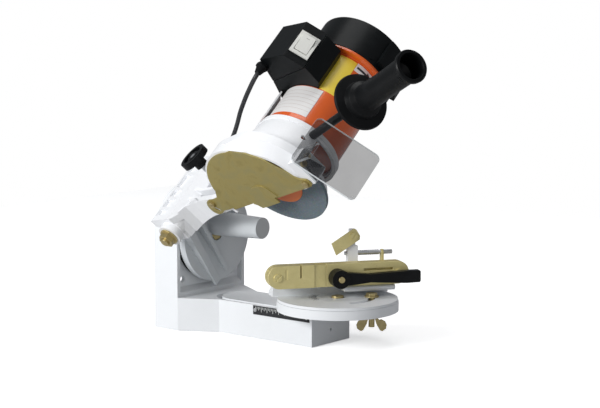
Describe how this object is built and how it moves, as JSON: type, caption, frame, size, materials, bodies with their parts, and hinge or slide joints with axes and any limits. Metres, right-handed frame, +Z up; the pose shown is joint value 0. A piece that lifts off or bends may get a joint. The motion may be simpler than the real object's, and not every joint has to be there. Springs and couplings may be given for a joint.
{
  "type": "electric chain sharpener",
  "caption": "Bench-top electric chainsaw sharpener: tilting swing-arm grinder with guarded wheel, orange motor, handle and eye shield over a swivelling chain vice.",
  "frame": {"origin": "centre of the face the base stands on, on the symmetry plane, under the swing of the head", "axes": "+X along the tongue towards the operator and the vice, +Y to the side the motor rises from, +Z up"},
  "size_m": [0.6398, 0.3472, 0.4267],
  "materials": {
    "grey_casting": "satin, light grey paint",
    "white_casting": "satin, white paint",
    "orange_paint": "gloss, orange paint",
    "ochre_plate": "satin, ochre passivated plate",
    "yellow_zinc": "yellow zinc plated fixings",
    "rail_brass": "yellow plated rails, satin",
    "bright_steel": "bright",
    "motor_iron": "laminations",
    "black_plastic": "moulded, fine grain",
    "dark_plastic": "switch box, satin",
    "white_plastic": "rocker and frame",
    "black_scale": "printed scale",
    "abrasive": "coarse bonded grain",
    "clear_shield": "clear polycarbonate, bright edges",
    "label": "printed plate",
    "wheel_label": "orange blotter",
    "cord_black": "supply cord"
  },
  "bodies": {
    "base": {"base_casting": "grey_casting", "tilt_scale": "black_scale", "slide_scale": "black_scale", "scale_screws": "bright_steel", "cord_lower": "cord_black", "cord_coil": "cord_black", "plug_body": "cord_black", "plug_pins": "bright_steel"},
    "head_tilt": {"tilt_bracket": "grey_casting", "tilt_bolt": "yellow_zinc", "tilt_nut": "yellow_zinc", "pivot_bolt": "yellow_zinc", "pivot_nut": "yellow_zinc", "cord_middle": "cord_black"},
    "head_arm": {"arm_casting": "white_casting", "rim_bolts": "yellow_zinc", "guard_cover": "ochre_plate", "cover_screws": "yellow_zinc", "bell_housing": "white_casting", "motor_ring": "bright_steel", "motor_shell": "orange_paint", "stator": "motor_iron", "bearings": "bright_steel", "fan_cap": "dark_plastic", "rating_plate": "label", "switch_top": "dark_plastic", "switch_low": "dark_plastic", "switch_frame": "white_plastic", "cable_gland": "black_plastic", "handle_rod": "dark_plastic", "handle_grip": "black_plastic", "eye_shield": "clear_shield", "cord_upper": "cord_black"},
    "spindle": {"motor_shaft": "bright_steel", "cooling_fan": "black_plastic", "grinding_wheel": "abrasive", "wheel_hub": "bright_steel", "wheel_flange": "wheel_label", "wheel_nut": "yellow_zinc"},
    "switch_rocker": {"rocker": "white_plastic"},
    "depth_stop": {"depth_screw": "bright_steel"},
    "depth_handwheel": {"depth_wheel": "black_plastic"},
    "slide": {"carriage": "white_casting", "slide_clamp": "yellow_zinc", "swivel_bolt": "yellow_zinc"},
    "vice": {"vice_support": "white_casting", "swivel_pin": "yellow_zinc", "back_rail": "rail_brass", "rail_web": "rail_brass", "front_rail": "rail_brass", "rail_screws": "rail_brass", "clamp_pin": "yellow_zinc", "stop_bracket": "rail_brass"},
    "swivel_nut": {"wing_nut": "yellow_zinc"},
    "lever": {"clamp_lever": "black_plastic"},
    "jaw": {"moving_jaw": "rail_brass"},
    "stop_feed": {"stop_spindle": "bright_steel"},
    "chain_stop": {"stop_slider": "white_casting", "stop_screw": "rail_brass"},
    "pawl": {"stop_pawl": "rail_brass"}
  },
  "joints": [
    {"name": "head_tilt", "type": "hinge", "parent": "base", "child": "head_tilt", "pos_m": [0, 0, 0.128], "axis": [1, 0, 0], "range_deg": [-41, 19]},
    {"name": "arm_swing", "type": "hinge", "parent": "head_tilt", "child": "head_arm", "pos_m": [-0.0725, -0.04592, 0.18083], "axis": [0, 0.7547, 0.6561], "range_deg": [0, 20], "stiffness_Nm_per_rad": 24, "springref_deg": -42.97},
    {"name": "spindle_turn", "type": "hinge", "parent": "head_arm", "child": "spindle", "pos_m": [0.11206, -0.08826, 0.22954], "axis": [0, 0.7547, 0.6561], "continuous": true},
    {"name": "switch_rock", "type": "hinge", "parent": "head_arm", "child": "switch_rocker", "pos_m": [0.11802, -0.04708, 0.39099], "axis": [-0.7501, -0.4339, 0.4991], "range_deg": [0, 14]},
    {"name": "depth_feed", "type": "slide", "parent": "head_arm", "child": "depth_stop", "axis": [-0.3746, -0.6083, 0.6998], "range_m": [-0.0025, 0.0025]},
    {"name": "depth_turn", "type": "hinge", "parent": "depth_stop", "child": "depth_handwheel", "pos_m": [-0.03523, -0.08847, 0.24197], "axis": [-0.3746, -0.6083, 0.6998], "range_deg": [-720.5, 720.5]},
    {"name": "vice_slide", "type": "slide", "parent": "base", "child": "slide", "axis": [1, 0, 0], "range_m": [-0.008, 0.018]},
    {"name": "vice_swivel", "type": "hinge", "parent": "slide", "child": "vice", "pos_m": [0.136, 0, 0.06], "axis": [0, 0, 1], "range_deg": [0, 70]},
    {"name": "swivel_nut_turn", "type": "hinge", "parent": "slide", "child": "swivel_nut", "pos_m": [0.16837, 0.03126, 0.04], "axis": [0, 0, 1], "continuous": true},
    {"name": "lever_lift", "type": "hinge", "parent": "vice", "child": "lever", "pos_m": [0.15066, -0.01393, 0.09], "axis": [0.8192, -0.5736, 0], "range_deg": [0, 50]},
    {"name": "jaw_close", "type": "slide", "parent": "vice", "child": "jaw", "axis": [-0.8192, 0.5736, 0], "range_m": [0, 0.00045]},
    {"name": "stop_turn", "type": "hinge", "parent": "vice", "child": "stop_feed", "pos_m": [0.15903, 0.05712, 0.118], "axis": [0.5736, 0.8192, 0], "range_deg": [-1080.5, 420.5]},
    {"name": "stop_slide", "type": "slide", "parent": "vice", "child": "chain_stop", "axis": [0.5736, 0.8192, 0], "range_m": [-0.00375, 0.00146]},
    {"name": "pawl_flip", "type": "hinge", "parent": "chain_stop", "child": "pawl", "pos_m": [0.14189, 0.02481, 0.141], "axis": [-0.8192, 0.5736, 0], "range_deg": [-12, 80]}
  ],
  "couplings": [
    {"joint": "depth_turn", "follows": "depth_feed", "rad_per_m": 5026.5},
    {"joint": "lever_lift", "follows": "jaw_close", "rad_per_m": 1938.9},
    {"joint": "stop_turn", "follows": "stop_slide", "rad_per_m": 5026.5}
  ]
}
